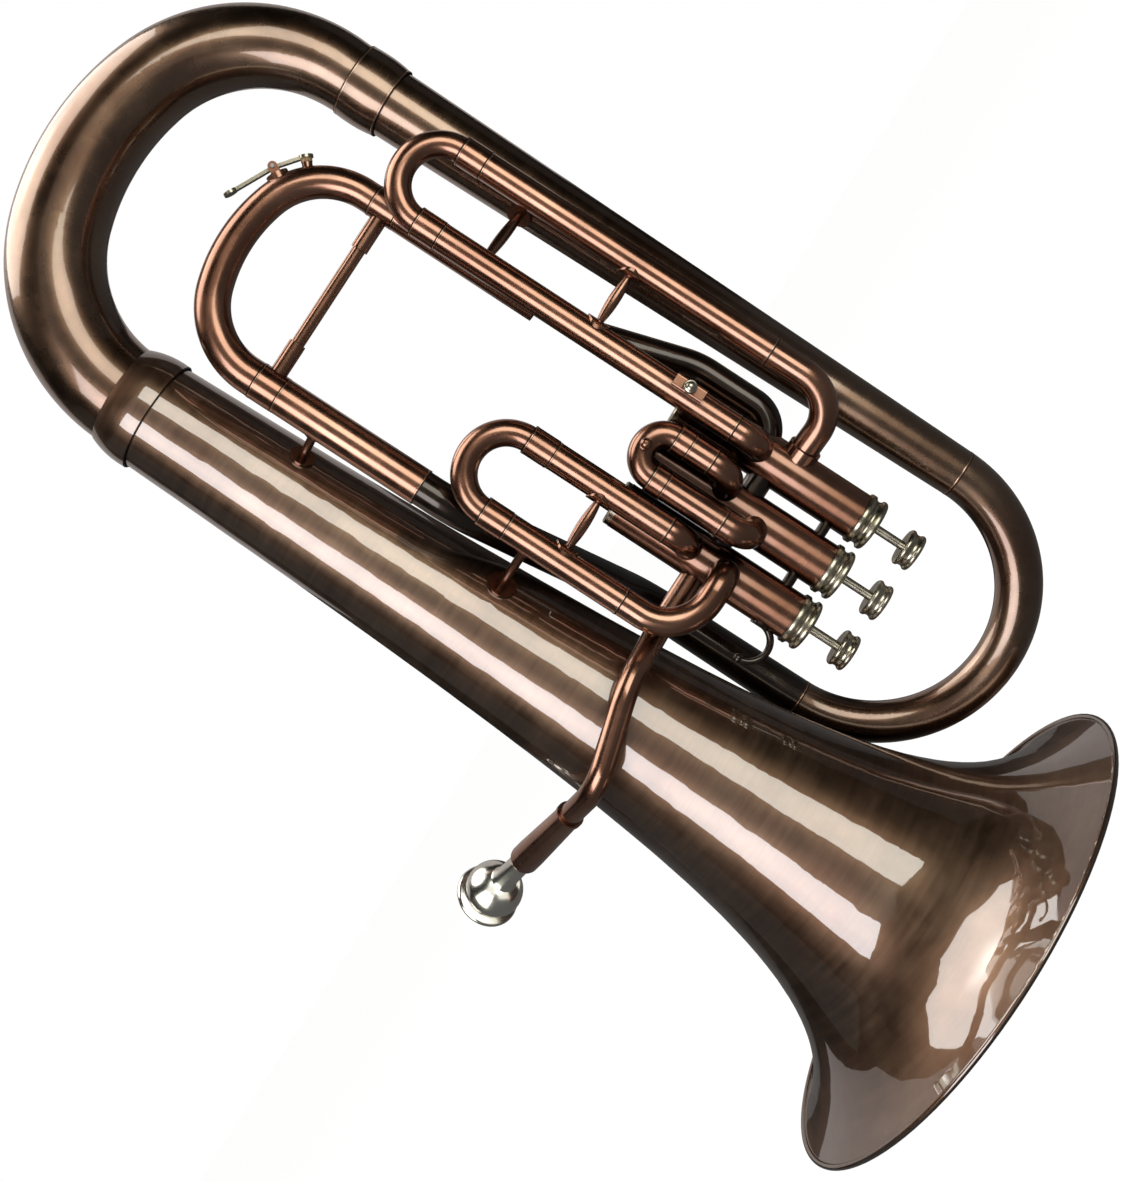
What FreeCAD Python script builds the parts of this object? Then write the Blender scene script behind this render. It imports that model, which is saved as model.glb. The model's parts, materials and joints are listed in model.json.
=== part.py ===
import FreeCAD, Part
import Sketcher
import math
import os
import re

# Baritone horn, in millimetres, standing on its bell.
# Origin: centre of the bell mouth, in the plane of the rim. +Z runs up the bell's axis to the bottom bow,
# +X runs from the bell to the outer branch, and -Y is the front, where the valve slides lie.

Vector = FreeCAD.Vector
doc = FreeCAD.newDocument("BaritoneHorn")
sheet = doc.addObject("Spreadsheet::Sheet", "Dimensions")

DIMENSIONS = {
    # bell: radius = mouth * (flare / (height + flare)) ** exponent
    "bell_mouth_radius": 120.3,
    "bell_bead_radius": 1.5,
    "bell_flare_length": 17.5,
    "bell_flare_exponent": 0.465,
    "bell_length": 451,
    "bell_wall": 0.6,
    # bottom bow and outer branch
    "branch_x": 181.4,
    "bow_top": 535.1,
    "bow_shoulder": 76,
    "bow_crown": 125,
    "bow_bell_radius": 23.9,
    "bow_middle_radius": 22.3,
    "bow_branch_radius": 16.7,
    "branch_top": 440,
    "branch_bottom": 116,
    "branch_top_radius": 16.3,
    "branch_bottom_radius": 11.6,
    "bow_wall": 0.6,
    "ferrule_wall": 0.7,
    "bell_ferrule_reach": 9.5,
    "branch_ferrule_reach": 10,
    # inner branch, behind the bell
    "inner_x": 53.5,
    "inner_y": 32,
    "inner_radius": 9.9,
    "inner_straight_top": 205,
    "inner_slide_end_radius": 8.2,
    "inner_bend": 40,
    # main tuning slide
    "main_y": -34.5,
    "main_upper_x": 135.3,
    "main_lower_x": 39.5,
    "main_upper_radius": 7.15,
    "main_lower_radius": 8.65,
    "main_tube_bottom": 319,
    "main_tube_top": 394,
    "main_ferrule_top": 406,
    "main_leg_bottom": 332,
    "main_bow_top": 448.4,
    "main_bow_shoulder": 36,
    "main_bow_crown": 75,
    "main_brace_height": 400,
    "main_brace_radius": 3.1,
    "main_socket_radius": 4.0,
    "main_socket_length": 15,
    # tubing
    "tube_wall": 0.45,
    "slide_clearance": 0.06,
    "ferrule_step": 0.3,
    # valve slides
    "slide_y": -50,
    "slide_radius": 6.6,
    "elbow_radius": 6.5,
    "elbow_bend": 9.6,
    "round_elbow_bend": 20,
    "first_around_bend": 22,
    "first_inlet_bend": 9.5,
    "first_inlet_slant": 1.3,
    "front_port_height": 205.5,
    "back_port_height": 185,
    "third_return_height": 203,
    "collar_radius": 7.7,
    "collar_length": 3,
    "first_upper_x": 82.8,
    "first_lower_x": 45.6,
    "first_tube_bottom": 217,
    "first_tube_top": 277,
    "first_ferrule_top": 289.5,
    "second_upper_x": 118.4,
    "second_lower_x": 98.2,
    "second_tube_bottom": 217,
    "second_lower_tube_bottom": 199,
    "second_tube_top": 229,
    "second_ferrule_top": 236,
    "third_upper_x": 172.7,
    "third_lower_x": 135.9,
    "third_tube_bottom": 222,
    "third_lower_tube_bottom": 217,
    "third_tube_top": 371,
    "third_ferrule_top": 383,
    "leg_stop": 3,
    # valves
    "valve_y": -30,
    "valve_x": 108.6,
    "valve_spacing": 26.8,
    "casing_radius": 11.1,
    "casing_wall": 0.9,
    "casing_top": 148.2,
    "casing_bottom": 240,
    "piston_clearance": 0.05,
    "piston_top": 152,
    "piston_length": 62,
    "piston_spring_seat": 5,
    "passage_radius": 5.6,
    "stem_radius": 2.05,
    "stem_bottom": 120.4,
    "button_bottom": 116.3,
    "button_height": 8.1,
    "button_radius": 8.85,
    "cap_radius": 12.2,
    "cap_waist": 10.9,
    "cap_height": 9,
    "cap_thread": 2.8,
    "cap_hole_radius": 2.4,
    "bottom_cap_radius": 10.9,
    "bottom_cap_height": 3,
    "spring_wire": 0.6,
    "spring_radius": 7.6,
    "spring_turns": 6,
    "spring_sides": 16,
    "spring_gap": 0.1,
    "crossover_height": 194,
    "crossover_radius": 6.2,
    "casing_brace_height": 158,
    "casing_brace_radius": 2.7,
    "outlet_x": 152.4,
    "outlet_height": 201,
    "outlet_radius": 6.8,
    "outlet_sway_top": 300,
    "outlet_sway_bottom": 245,
    "outlet_sway_bend": 40,
    "outlet_bend": 14,
    # leadpipe, receiver and mouthpiece
    "leadpipe_height": 195.3,
    "leadpipe_valve_radius": 5.7,
    "leadpipe_end_radius": 5.3,
    "leadpipe_insert": 5,
    "leadpipe_valve_turn_x": 45,
    "leadpipe_valve_turn_y": -31,
    "leadpipe_front_x": 18,
    "leadpipe_front_y": -50,
    "leadpipe_last_run": 27,
    "leadpipe_bend": 22,
    "leadpipe_front_bend": 30,
    "receiver_x": -46.8,
    "receiver_y": -30,
    "receiver_height": 182.9,
    "receiver_angle": 50,
    "receiver_rise": 2.9,
    "receiver_length": 54,
    "receiver_collar_radius": 6.6,
    "receiver_bore": 4.65,
    "receiver_radius": 7.15,
    "shank_insert": 23,
    "shank_tip_radius": 4.6,
    "shank_mouth_radius": 5.2,
    "mouthpiece_length": 69,
    "ball_height": 58,
    "ball_radius": 14,
    "rim_radius": 15.9,
    "cup_radius": 10.9,
    # braces and posts
    "spindle_end_radius": 1.5,
    "spindle_middle_radius": 2.7,
    "saddle_radius": 6,
    "saddle_height": 0.9,
    "first_brace_height": 249.5,
    "third_brace_height": 292,
    "branch_brace_height": 351,
    "post_radius": 2.1,
    "main_post_height": 372.6,
    "first_post_height": 264.9,
    # thumb hook and lyre socket
    "hook_height": 158.3,
    "hook_radius": 9.4,
    "hook_wire": 1.5,
    "lyre_x": 138.6,
    "lyre_y": -59.2,
    "lyre_height": 236,
    "lyre_length": 15,
    "lyre_width": 6.4,
    "lyre_bore": 1.7,
    "lyre_screw_radius": 3.1,
    # water key
    "key_pivot_angle": 60.2,
    "key_pivot_height": 4.6,
    "key_cork_angle": 41.8,
    "key_cork_height": 2.2,
    "key_finger_angle": 85.6,
    "key_finger_height": 8.3,
    "key_cork_radius": 2.6,
    "key_pin_radius": 0.9,
    "key_pin_length": 9.4,
    "key_width": 3.6,
    "key_thickness": 1.5,
}


def fill_sheet():
    for row, (alias, number) in enumerate(DIMENSIONS.items(), start=1):
        sheet.set("A%d" % row, alias)
        sheet.set("B%d" % row, str(number))
        sheet.setAlias("B%d" % row, alias)
    doc.recompute()


fill_sheet()


def bound(text):
    """An expression in the sheet's aliases, written as FreeCAD wants it."""

    def full_name(match):
        word = match.group(0)
        return "Dimensions." + word if word in DIMENSIONS else word

    return re.sub(r"[a-z][a-z_]+", full_name, text)


def size(text):
    """The present value of an expression in the sheet's aliases."""
    result = sheet.evalExpression(bound(text))
    return float(getattr(result, "Value", result))


# ---------------------------------------------------------------- helpers for turned pieces

def place(piece, at, direction):
    """Puts a piece at three sheet expressions, with its own Z turned to a direction."""
    turn = FreeCAD.Rotation(Vector(0, 0, 1), direction)
    piece.Placement = FreeCAD.Placement(Vector(*[size(text) for text in at]), turn)
    for letter, text in zip("xyz", at):
        piece.setExpression("Placement.Base." + letter, bound(text))


def arc_between(start, end, radius):
    """The minor arc between two points: a positive radius bulges to the right of the way there."""
    chord = end - start
    left = Vector(-chord.y, chord.x, 0).normalize()
    rise = math.sqrt(radius ** 2 - chord.Length ** 2 / 4)
    side = 1 if radius > 0 else -1
    centre = (start + end) / 2 + left * rise * side
    middle = centre - left * side * abs(radius)
    if radius < 0:
        start, end = end, start
    return Part.Arc(start, middle, end)


def draw_outline(sketch, outline):
    """Draws a closed outline of (radius, height[, bulge]) with every corner bound to the sheet."""
    corners = [Vector(size(entry[0]), size(entry[1]), 0) for entry in outline]
    ends = []
    for index, corner in enumerate(corners):
        following = (index + 1) % len(corners)
        target = corners[following]
        if len(outline[following]) == 3:
            bulge = size(outline[following][2])
            edge = sketch.addGeometry(arc_between(corner, target, bulge))
            ends.append((edge, 1, 2) if bulge > 0 else (edge, 2, 1))
            number = sketch.addConstraint(Sketcher.Constraint("Radius", edge, abs(bulge)))
            sketch.setExpression("Constraints[%d]" % number, bound("abs(%s)" % outline[following][2]))
        else:
            ends.append((sketch.addGeometry(Part.LineSegment(corner, target)), 1, 2))
    for index, (edge, first, last) in enumerate(ends):
        following = ends[(index + 1) % len(ends)]
        sketch.addConstraint(Sketcher.Constraint("Coincident", edge, last, following[0], following[1]))
        for kind, text, axis in (("DistanceX", outline[index][0], -2), ("DistanceY", outline[index][1], -1)):
            number = size(text)
            if abs(number) < 1e-9:
                sketch.addConstraint(Sketcher.Constraint("PointOnObject", edge, first, axis))
            else:
                datum = sketch.addConstraint(Sketcher.Constraint(kind, -1, 1, edge, first, number))
                sketch.setExpression("Constraints[%d]" % datum, bound(text))


def turned(label, outline, at=("0", "0", "0"), direction=Vector(0, 0, 1)):
    """A PartDesign body turned about its own Z from an outline given anticlockwise."""
    body = doc.addObject("PartDesign::Body", label)
    sketch = body.newObject("Sketcher::SketchObject", label + "_outline")
    plane = [item for item in body.Origin.OriginFeatures if item.Role == "XZ_Plane"][0]
    sketch.AttachmentSupport = (plane, [""])
    sketch.MapMode = "FlatFace"
    draw_outline(sketch, outline)
    revolution = body.newObject("PartDesign::Revolution", label + "_turning")
    revolution.Profile = sketch
    revolution.ReferenceAxis = (sketch, ["V_Axis"])
    revolution.Angle = 360
    sketch.Visibility = False
    place(body, at, direction)
    return body


def tube(label, outer, bore, at, length, direction=Vector(0, 0, 1)):
    """A straight tube from its low end."""
    outline = [(bore, "0"), (outer, "0"), (outer, length), (bore, length)]
    return turned(label, outline, at, direction)


def shaped(label, shape):
    """A piece whose solid was made with Part's own functions."""
    feature = doc.addObject("Part::Feature", label)
    feature.Shape = shape
    feature.Placement = FreeCAD.Placement()
    return feature


def group(label, members):
    """Like pieces of one kind, as separate solids under one label."""
    compound = doc.addObject("Part::Compound", label)
    compound.Links = members
    return compound


# ---------------------------------------------------------------- helpers for bent pieces

def route(points, bends):
    """Straight runs through the points, joined by tangent arcs of the given radii."""
    edges = []
    start = points[0]
    for before, corner, after, bend in zip(points, points[1:], points[2:], bends):
        back = (before - corner).normalize()
        onward = (after - corner).normalize()
        half_turn = (math.pi - back.getAngle(onward)) / 2
        first = corner + back * bend * math.tan(half_turn)
        last = corner + onward * bend * math.tan(half_turn)
        inward = (back + onward).normalize()
        middle = corner + inward * (bend / math.cos(half_turn) - bend)
        if (first - start).Length > 1e-6:
            edges.append(Part.LineSegment(start, first).toShape())
        edges.append(Part.Arc(first, middle, last).toShape())
        start = last
    if (points[-1] - start).Length > 1e-6:
        edges.append(Part.LineSegment(start, points[-1]).toShape())
    return Part.Wire(edges)


def arch(start, end, top, shoulder, crown):
    """A three-centred arch between two uprights: two tight shoulders joined by a flatter crown."""
    span = Vector(end.x - start.x, end.y - start.y, 0)
    along = Vector(span).normalize()
    inset = span.Length / 2 - shoulder
    drop = math.sqrt((crown - shoulder) ** 2 - inset ** 2)
    lean = math.atan2(drop, inset)
    centre = start + span / 2
    centre.z = top - crown
    left = centre - along * inset + Vector(0, 0, drop)
    right = centre + along * inset + Vector(0, 0, drop)

    def around(point, radius, angle):
        return point + along * radius * math.cos(angle) + Vector(0, 0, radius * math.sin(angle))

    def arc(point, radius, first, last):
        return Part.Arc(*[around(point, radius, angle) for angle in (first, (first + last) / 2, last)])

    edges = [
        Part.LineSegment(start, around(left, shoulder, math.pi)),
        arc(left, shoulder, math.pi, math.pi - lean),
        arc(centre, crown, math.pi - lean, math.pi / 2),
        arc(centre, crown, math.pi / 2, lean),
        arc(right, shoulder, lean, 0),
        Part.LineSegment(around(right, shoulder, 0), end),
    ]
    return Part.Wire([edge.toShape() for edge in edges])


def swept(path, stations):
    """A solid of round section along a path, whose radius is given at fractions of the length."""
    places = [path.Edges[0].valueAt(path.Edges[0].FirstParameter)]
    tangents = [path.Edges[0].tangentAt(path.Edges[0].FirstParameter)]
    travelled = [0.0]
    for edge in path.Edges:
        places.append(edge.valueAt(edge.LastParameter))
        tangents.append(edge.tangentAt(edge.LastParameter))
        travelled.append(travelled[-1] + edge.Length)
    sweep = Part.BRepOffsetAPI.MakePipeShell(path)
    for fraction, radius in stations:
        nearest = min(range(len(places)), key=lambda k: abs(travelled[k] - fraction * path.Length))
        sweep.add(Part.Wire(Part.makeCircle(radius, places[nearest], tangents[nearest])))
    sweep.build()
    sweep.makeSolid()
    return sweep.shape()


def bent_tube(path, stations, wall):
    """The outside and the bore of a bent tube, as two solids."""
    outside = swept(path, stations)
    bore = swept(path, [(fraction, radius - wall) for fraction, radius in stations])
    return outside, bore


def even_tube(path, radius, wall):
    """A bent tube of one section and the solid of its bore, both made of cylinders and tori."""
    walls, bores = [], []
    for edge in path.Edges:
        start, along = edge.valueAt(edge.FirstParameter), edge.tangentAt(edge.FirstParameter)
        outer = Part.Wire(Part.makeCircle(radius, start, along))
        inner = Part.Wire(Part.makeCircle(radius - wall, start, along))
        ring = Part.makeFace([outer, inner], "Part::FaceMakerBullseye")
        for face, solids in ((ring, walls), (Part.Face(inner), bores)):
            if isinstance(edge.Curve, Part.Circle):
                centre, axis = edge.Curve.Center, edge.Curve.Axis
                if axis.cross(start - centre).dot(along) < 0:
                    axis = axis * -1
                solids.append(face.revolve(centre, axis, math.degrees(edge.Length / edge.Curve.Radius)))
            else:
                solids.append(face.extrude(along * edge.Length))
    return walls[0].fuse(walls[1:]), bores[0].fuse(bores[1:])


def rod(start, end, radius):
    return Part.makeCylinder(radius, (end - start).Length, start, end - start)


def upright(x, y, radius, low=0, high=600):
    """A round bar parallel to Z, used to trim what is soldered to a tube."""
    return Part.makeCylinder(radius, high - low, Vector(x, y, low))


# ---------------------------------------------------------------- bell

def bell_radius(height):
    flare = size("bell_flare_length")
    above = height - size("bell_bead_radius")
    return size("bell_mouth_radius") * (flare / (above + flare)) ** size("bell_flare_exponent")


def bell_curve(offset):
    """The bell's side from tail to rim, moved outward along its normal by an offset."""
    spans = 16
    lowest = size("bell_bead_radius") + 0.45
    length = size("bell_length")
    points = []
    for step in range(spans, -1, -1):
        height = lowest + (length - lowest) * (step / spans) ** 2.4
        slope = (bell_radius(height + 0.01) - bell_radius(height - 0.01)) / 0.02
        normal = Vector(1, 0, -slope).normalize()
        points.append(Vector(bell_radius(height), 0, height) + normal * offset)
    points[0].z = length
    curve = Part.BSplineCurve()
    curve.interpolate(points)
    return curve.toShape(), points[0], points[-1]


def bell():
    bead = size("bell_bead_radius")
    mouth = size("bell_mouth_radius")
    outside, tail_out, rim_out = bell_curve(0)
    inside, tail_in, rim_in = bell_curve(-size("bell_wall"))
    flat = bead / 2
    rest_out = Vector(mouth + flat, 0, 0)
    rest_in = Vector(mouth - flat, 0, 0)
    roll = Part.Arc(rim_out, Vector(mouth + bead, 0, math.sqrt(bead ** 2 - flat ** 2)), rest_out).toShape()
    rest = Part.LineSegment(rest_out, rest_in).toShape()
    closing = Part.LineSegment(rest_in, rim_in).toShape()
    tail = Part.LineSegment(tail_in, tail_out).toShape()
    wire = Part.Wire([outside, roll, rest, closing, inside, tail])
    return shaped("bell", Part.Face(wire).revolve(Vector(), Vector(0, 0, 1), 360))


def bell_plug(offset):
    """A solid bell, grown by an offset, to trim what stands on the bell."""
    side, tail, rim = bell_curve(offset)
    low = Vector(0, 0, rim.z)
    high = Vector(0, 0, tail.z)
    edges = [side, Part.LineSegment(rim, low).toShape(), Part.LineSegment(low, high).toShape(),
             Part.LineSegment(high, tail).toShape()]
    return Part.Face(Part.Wire(edges)).revolve(Vector(), Vector(0, 0, 1), 360)


def bell_ferrule():
    """A rounded ring: its low half slips over the bell's tail, its high half over the bow."""
    low_bore = "bell_mouth_radius * (bell_flare_length / (bell_length - 10)) ^ bell_flare_exponent + 0.2"
    outline = [
        (low_bore, "0"),
        (low_bore + " + ferrule_wall", "0"),
        (low_bore + " + ferrule_wall", "1.2"),
        ("bow_bell_radius + ferrule_wall", "2 * bell_ferrule_reach", "40"),
        ("bow_bell_radius + 0.2", "2 * bell_ferrule_reach"),
        ("bow_bell_radius + 0.2", "bell_ferrule_reach"),
        (low_bore, "bell_ferrule_reach"),
    ]
    return turned("bell_ferrule", outline, ("0", "0", "bell_length - bell_ferrule_reach"))


# ---------------------------------------------------------------- bows and branches

def bottom_bow():
    start = Vector(0, 0, size("bell_length"))
    end = Vector(size("branch_x"), 0, size("branch_top"))
    path = arch(start, end, size("bow_top"), size("bow_shoulder"), size("bow_crown"))
    radii = ("bow_bell_radius", "bow_middle_radius", "bow_branch_radius")
    stations = list(zip((0, 0.5, 1), [size(radius) for radius in radii]))
    outside, bore = bent_tube(path, stations, size("bow_wall"))
    return shaped("bottom_bow", outside.cut(bore))


def branch_ferrule():
    outline = [
        ("branch_top_radius + 0.2", "0"),
        ("branch_top_radius + 0.75", "0"),
        ("branch_top_radius + 1.9", "branch_ferrule_reach", "60"),
        ("branch_top_radius + 1.6", "2 * branch_ferrule_reach", "90"),
        ("branch_top_radius + 0.9", "2 * branch_ferrule_reach"),
        ("branch_top_radius + 0.9", "branch_ferrule_reach"),
        ("branch_top_radius + 0.2", "branch_ferrule_reach"),
    ]
    return turned("branch_ferrule", outline, ("branch_x", "0", "branch_top - branch_ferrule_reach"))


def outer_branch():
    length = "branch_top - branch_bottom"
    outline = [
        ("branch_bottom_radius - bow_wall", "0"),
        ("branch_bottom_radius", "0"),
        ("branch_top_radius", length),
        ("branch_top_radius - bow_wall", length),
    ]
    return turned("outer_branch", outline, ("branch_x", "0", "branch_bottom"))


def top_bow():
    """A half turn leaning back, from the outer branch to the inner branch behind the bell."""
    level = size("branch_bottom")
    outer_end = Vector(size("branch_x"), 0, level)
    inner_end = Vector(size("inner_x"), size("inner_y"), level)
    bend = (outer_end - inner_end).Length / 2
    drop = Vector(0, 0, -bend)
    quarter = (inner_end - outer_end).normalize() * bend
    lowest = outer_end + quarter + drop
    first = Part.Arc(outer_end, outer_end + quarter * (1 - math.sqrt(0.5)) + drop * math.sqrt(0.5), lowest)
    second = Part.Arc(lowest, inner_end - quarter * (1 - math.sqrt(0.5)) + drop * math.sqrt(0.5), inner_end)
    path = Part.Wire([first.toShape(), second.toShape()])
    stations = [(0, size("branch_bottom_radius")), (1, size("inner_radius"))]
    outside, bore = bent_tube(path, stations, size("bow_wall"))
    return shaped("top_bow", outside.cut(bore))


def inner_branch():
    """Straight behind the bell, then round its side to the lower leg of the main slide."""
    back_x, back_y = size("inner_x"), size("inner_y")
    front_x, front_y = size("main_lower_x"), size("main_y")
    points = [
        Vector(back_x, back_y, size("branch_bottom")),
        Vector(back_x, back_y, size("inner_straight_top")),
        Vector(front_x, front_y, size("main_tube_bottom - 18")),
        Vector(front_x, front_y, size("main_tube_bottom")),
    ]
    path = route(points, [size("inner_bend")] * 2)
    stations = [(0, size("inner_radius")), (1, size("inner_slide_end_radius"))]
    outside, bore = bent_tube(path, stations, size("bow_wall"))
    return shaped("inner_branch", outside.cut(bore))


# ---------------------------------------------------------------- main tuning slide

def main_outer_tube(side):
    name = "main_%s_radius" % side
    at = ("main_%s_x" % side, "main_y", "main_tube_bottom")
    return tube("main_slide_%s_outer_tube" % side, name, name + " - tube_wall", at,
                "main_tube_top - main_tube_bottom")


def main_inner_leg(side):
    leg = "main_%s_radius - tube_wall - slide_clearance" % side
    at = ("main_%s_x" % side, "main_y", "main_leg_bottom")
    length = "main_ferrule_top - main_leg_bottom"
    return tube("main_slide_%s_leg" % side, leg, leg + " - tube_wall", at, length)


def main_ferrule(side):
    radius = "main_%s_radius" % side
    leg = radius + " - tube_wall - slide_clearance"
    at = ("main_%s_x" % side, "main_y", "main_tube_top + 0.3")
    return tube("main_slide_%s_ferrule" % side, radius + " + 0.15", leg, at,
                "main_ferrule_top - main_tube_top - 0.3")


def main_bow_path():
    y = size("main_y")
    low = size("main_ferrule_top")
    start, end = Vector(size("main_upper_x"), y, low), Vector(size("main_lower_x"), y, low)
    return arch(start, end, size("main_bow_top"), size("main_bow_shoulder"), size("main_bow_crown"))


def main_bow_outside():
    upper, lower = size("main_upper_radius"), size("main_lower_radius")
    return swept(main_bow_path(), [(0, upper), (1, lower)])


def main_bow():
    upper, lower = size("main_upper_radius"), size("main_lower_radius")
    wall = size("bow_wall")
    bore = swept(main_bow_path(), [(0, upper - wall), (1, lower - wall)])
    return shaped("main_slide_bow", main_bow_outside().cut(bore))


def main_brace():
    """A pull rod between the two ferrules, with a socket at each end."""
    y = size("main_y")
    height = size("main_brace_height")
    upper, lower = Vector(size("main_upper_x"), y, height), Vector(size("main_lower_x"), y, height)
    reach = size("main_socket_length")
    upper_face = upper - Vector(size("main_upper_radius") + reach, 0, 0)
    lower_face = lower + Vector(size("main_lower_radius") + reach, 0, 0)
    middle = rod(lower_face - Vector(reach / 2, 0, 0), upper_face + Vector(reach / 2, 0, 0),
                 size("main_brace_radius"))
    solids = [middle]
    for axis, face, radius in ((upper, upper_face, size("main_upper_radius")),
                               (lower, lower_face, size("main_lower_radius"))):
        socket = rod(axis, face, size("main_socket_radius"))
        socket = socket.cut(upright(axis.x, y, radius + 0.15)).cut(middle)
        solids.append(socket)
    return shaped("main_slide_brace", Part.makeCompound(solids))


# ---------------------------------------------------------------- water key

def on_bow(angle, height):
    """A point at a height off the main slide's bow, about the centre of the bow's upper shoulder."""
    shoulder = size("main_bow_shoulder")
    crown = size("main_bow_crown")
    inset = size("(main_upper_x - main_lower_x) / 2") - shoulder
    level = size("main_bow_top") - crown + math.sqrt((crown - shoulder) ** 2 - inset ** 2)
    turn = math.radians(size(angle))
    radius = shoulder + size("main_upper_radius") + height
    return Vector(size("main_upper_x") - shoulder + radius * math.cos(turn), size("main_y"),
                  level + radius * math.sin(turn))


def water_key():
    y_axis = Vector(0, 1, 0)
    bow = main_bow_outside()
    centre = on_bow("key_pivot_angle", -size("main_bow_shoulder + main_upper_radius"))
    pivot = on_bow("key_pivot_angle", size("key_pivot_height"))
    half = size("key_pin_length") / 2
    pin_radius = size("key_pin_radius")
    pin = rod(pivot - y_axis * half, pivot + y_axis * half, pin_radius)
    outward = (pivot - centre).normalize()
    width = size("key_width")

    ears = []
    for side in (-1, 1):
        middle = pivot + y_axis * side * (width / 2 + 1.3)
        ear = rod(middle - y_axis * 0.8, middle + y_axis * 0.8, 2.2)
        foot = Part.makeBox(4.4, 1.6, 7, Vector(-2.2, -0.8, -7))
        foot.Placement = FreeCAD.Placement(middle, FreeCAD.Rotation(Vector(0, 0, 1), outward))
        ears.append(ear.fuse(foot))
    base = Part.makeCylinder(5.2, 7, pivot - outward * 9, outward)
    base = base.cut(Part.makeCylinder(9, 9, pivot - outward * 3.2, outward))
    saddle = base.fuse(ears).cut(bow).cut(rod(pivot - y_axis * 9, pivot + y_axis * 9, pin_radius))

    cork_foot = on_bow("key_cork_angle", size("key_cork_height"))
    cork_axis = (cork_foot - centre).normalize()
    nipple = Part.makeCylinder(2.4, 5.2, cork_foot - cork_axis * 5.2, cork_axis)
    nipple = nipple.cut(Part.makeCylinder(1.5, 6, cork_foot - cork_axis * 5.8, cork_axis)).cut(bow)
    cork = Part.makeCylinder(size("key_cork_radius"), 1.8, cork_foot + cork_axis * 0.05, cork_axis)

    thickness = size("key_thickness")
    arm_end = cork_foot + cork_axis * (1.85 + thickness / 2)
    finger = on_bow("key_finger_angle", size("key_finger_height"))
    lever = rod(pivot - y_axis * width / 2, pivot + y_axis * width / 2, 1.9)
    cup = Part.makeCylinder(size("key_cork_radius") + 0.7, 1.4, cork_foot + cork_axis * 1.85, cork_axis)
    for start, end in ((pivot, arm_end), (pivot, finger)):
        along = (end - start).normalize()
        across = along.cross(y_axis)
        corner = start - y_axis * width / 2 - across * thickness / 2
        bar = Part.makeBox((end - start).Length, width, thickness)
        bar.Placement = FreeCAD.Placement(corner, FreeCAD.Rotation(along, y_axis, across, "XYZ"))
        lever = lever.fuse(bar)
    paddle = Part.makeCylinder(3.4, thickness, finger, (finger - pivot).normalize().cross(y_axis))
    paddle.translate((finger - pivot).normalize().cross(y_axis) * -thickness / 2)
    lever = lever.fuse([cup, paddle]).cut(rod(pivot - y_axis * 9, pivot + y_axis * 9, pin_radius + 0.05))
    lever = lever.cut(cork)

    return {
        "water_key_saddle": saddle,
        "water_key_nipple": nipple,
        "water_key_cork": cork,
        "water_key_lever": lever.removeSplitter(),
        "water_key_pin": pin,
    }


# ---------------------------------------------------------------- valve slides

SLIDES = ("first", "second", "third")


def slide_outer_tubes(name):
    """The two fixed tubes that the slide's legs run in."""
    tubes = []
    for side in ("upper", "lower"):
        low = name + "_tube_bottom"
        special = "%s_%s_tube_bottom" % (name, side)
        if special in DIMENSIONS:
            low = special
        at = ("%s_%s_x" % (name, side), "slide_y", low)
        tubes.append(tube("%s_slide_%s_tube" % (name, side), "slide_radius", "slide_radius - tube_wall", at,
                          "%s_tube_top - %s" % (name, low)))
    return group(name + "_slide_outer_tubes", tubes)


def slide_crook(name):
    """The moving half of a slide: a half turn of tube with its two legs."""
    body = doc.addObject("PartDesign::Body", name + "_slide_crook")
    half = "(%s_upper_x - %s_lower_x) / 2" % (name, name)
    outer = "slide_radius - tube_wall - slide_clearance"
    bore = outer + " - tube_wall"
    length = "%s_ferrule_top - %s_tube_bottom - leg_stop" % (name, name)
    plane = [item for item in body.Origin.OriginFeatures if item.Role == "XY_Plane"][0]

    def rings(label, sides):
        sketch = body.newObject("Sketcher::SketchObject", label)
        sketch.AttachmentSupport = (plane, [""])
        sketch.MapMode = "FlatFace"
        for side in sides:
            for text in (outer, bore):
                centre = Vector(side * size(half), 0, 0)
                circle = sketch.addGeometry(Part.Circle(centre, Vector(0, 0, 1), size(text)))
                sketch.addConstraint(Sketcher.Constraint("PointOnObject", circle, 3, -1))
                first, second = ((-1, 1), (circle, 3)) if side > 0 else ((circle, 3), (-1, 1))
                offset = sketch.addConstraint(Sketcher.Constraint("DistanceX", *first, *second, size(half)))
                sketch.setExpression("Constraints[%d]" % offset, bound(half))
                radius = sketch.addConstraint(Sketcher.Constraint("Radius", circle, size(text)))
                sketch.setExpression("Constraints[%d]" % radius, bound(text))
        return sketch

    bend = body.newObject("PartDesign::Revolution", name + "_crook_bend")
    bend.Profile = rings(name + "_crook_section", (1,))
    bend.ReferenceAxis = (bend.Profile[0], ["V_Axis"])
    bend.Angle = 180
    bend.Reversed = True
    legs = body.newObject("PartDesign::Pad", name + "_crook_legs")
    legs.Profile = rings(name + "_leg_sections", (1, -1))
    legs.Length = size(length)
    legs.setExpression("Length", bound(length))
    legs.Reversed = True
    place(body, ("(%s_upper_x + %s_lower_x) / 2" % (name, name), "slide_y", name + "_ferrule_top"),
          Vector(0, 0, 1))
    return body


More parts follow.
